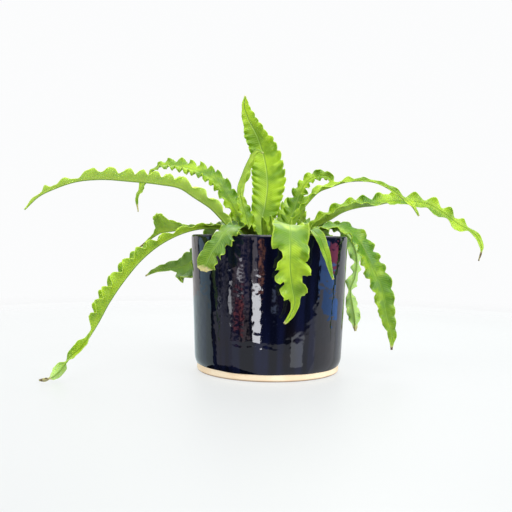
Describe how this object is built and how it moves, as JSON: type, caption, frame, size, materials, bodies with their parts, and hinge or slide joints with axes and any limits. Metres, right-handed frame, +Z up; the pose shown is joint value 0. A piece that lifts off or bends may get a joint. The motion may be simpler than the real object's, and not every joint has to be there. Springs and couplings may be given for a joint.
{
  "type": "potted bird's nest fern",
  "caption": "Ruffle-edged bird's nest fern with arching and drooping wavy fronds on a short crown, in soil in a straight round glazed pot with a bare clay foot.",
  "frame": {"origin": "centre of the pot's flat foot, on the surface it stands on", "axes": "+Z up along the pot's axis, +X to the right and -Y to the front as pictured"},
  "size_m": [0.4072, 0.1896, 0.2482],
  "materials": {
    "glaze": "gloss",
    "soil": "matte",
    "crown": "matte",
    "leaf": "satin"
  },
  "bodies": {
    "root": {"pot": "glaze", "soil": "soil", "crown": "crown", "frond_left_long": "leaf", "frond_left_high": "leaf", "frond_centre_tall": "leaf", "frond_young_hook": "leaf", "frond_right_inner": "leaf", "frond_right_slim": "leaf", "frond_right_long": "leaf", "frond_right_droop": "leaf", "frond_right_twisted": "leaf", "frond_front_broad": "leaf", "frond_front_left_blunt": "leaf", "frond_front_right_small": "leaf", "frond_left_floor": "leaf", "frond_left_back": "leaf", "frond_left_low": "leaf", "frond_inner_left": "leaf", "frond_bud_left": "leaf", "frond_bud_right": "leaf", "frond_back_left": "leaf", "frond_back_middle": "leaf", "frond_back_right": "leaf", "frond_back_inner": "leaf"}
  },
  "joints": []
}
